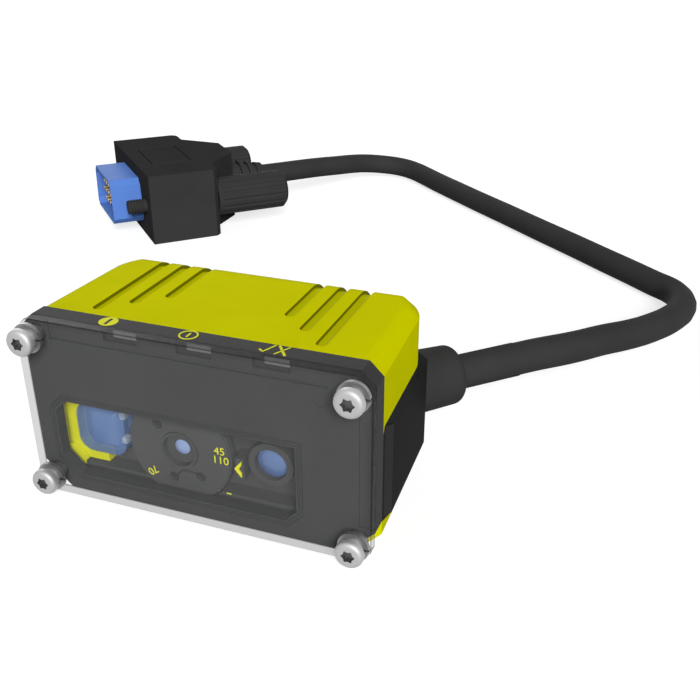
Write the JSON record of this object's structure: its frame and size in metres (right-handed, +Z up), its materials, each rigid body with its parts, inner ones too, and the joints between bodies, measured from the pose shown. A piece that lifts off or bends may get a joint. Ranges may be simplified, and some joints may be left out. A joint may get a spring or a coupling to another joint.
{
  "type": "fixed-mount barcode reader",
  "caption": "Small yellow and black fixed-mount barcode reader with a clear screwed-on window, a focus dial and a lead to a blue D-shaped plug",
  "frame": {"origin": "Centre of the reader's base, midway between the fronts of the cover screws and the rear of the cable block", "axes": "+X is the reader's right seen from the front, +Y runs from the window to the rear, +Z is up from the base"},
  "size_m": [0.1336, 0.1535, 0.0235],
  "materials": {
    "window_clear": "clear polished acrylic",
    "rubber_black": "soft matt black",
    "bezel_grey": "fine matt dark grey",
    "screw_steel": "bright stainless",
    "washer_steel": "plain stainless",
    "pipe_clear": "milky clear",
    "board_green": "solder mask",
    "led_white": "white package",
    "housing_yellow": "fine satin greenish yellow",
    "housing_black": "fine matt black",
    "clip_grey": "matt dark grey",
    "optics_black": "matt black",
    "dial_grey": "matt dark grey with light numbers",
    "mark_yellow": "printed yellow",
    "lens_glass": "coated glass",
    "lens_blue": "clear blue moulding",
    "chip_dark": "polished sensor",
    "insert_brass": "knurled brass",
    "gland_black": "moulded black",
    "cord_black": "smooth cord jacket",
    "hood_black": "moulded black",
    "shell_blue": "moulded blue",
    "insulator_blue": "moulded blue",
    "pin_gold": "gold-plated",
    "knob_black": "moulded grip"
  },
  "bodies": {
    "reader": {"front_window": "window_clear", "window_seal": "rubber_black", "front_bezel": "bezel_grey", "cover_screws": "screw_steel", "lock_washers": "washer_steel", "light_pipe_left": "pipe_clear", "light_pipe_middle": "pipe_clear", "light_pipe_right": "pipe_clear", "indicator_board": "board_green", "indicator_leds": "led_white", "upper_housing": "housing_yellow", "lower_housing": "housing_black", "housing_gasket": "rubber_black", "side_clip_left": "clip_grey", "side_clip_right": "clip_grey", "optics_plate": "optics_black", "dial_pointer": "mark_yellow", "lens_barrel": "optics_black", "camera_lens": "lens_glass", "lens_holder": "optics_black", "image_sensor": "chip_dark", "sensor_board": "board_green", "illumination_lens": "lens_blue", "light_shroud": "housing_yellow", "illumination_led": "led_white", "illumination_board": "board_green", "aimer_ring": "optics_black", "aimer_lens": "lens_blue", "aimer_led": "washer_steel", "main_board": "board_green", "board_screws": "screw_steel", "mount_inserts": "insert_brass", "cable_gland": "gland_black", "cord_sleeve": "rubber_black", "cord": "cord_black", "connector_boot": "rubber_black", "connector_hood": "hood_black", "connector_shell": "shell_blue", "contact_block": "insulator_blue", "contact_pins": "pin_gold"},
    "dial": {"focus_dial": "dial_grey"},
    "screw_near": {"thumbscrew_near": "knob_black"},
    "screw_far": {"thumbscrew_far": "knob_black"}
  },
  "joints": [
    {"name": "dial_turn", "type": "hinge", "parent": "reader", "child": "dial", "pos_m": [-0.0034, -0.01112, 0.0076], "axis": [0, -1, 0], "range_deg": [-20, 140]},
    {"name": "near_turn", "type": "hinge", "parent": "reader", "child": "screw_near", "pos_m": [-0.05866, 0.07116, 0.00735], "axis": [0.7071, 0.7071, 0], "continuous": true},
    {"name": "far_turn", "type": "hinge", "parent": "reader", "child": "screw_far", "pos_m": [-0.07634, 0.08884, 0.00735], "axis": [0.7071, 0.7071, 0], "continuous": true}
  ]
}
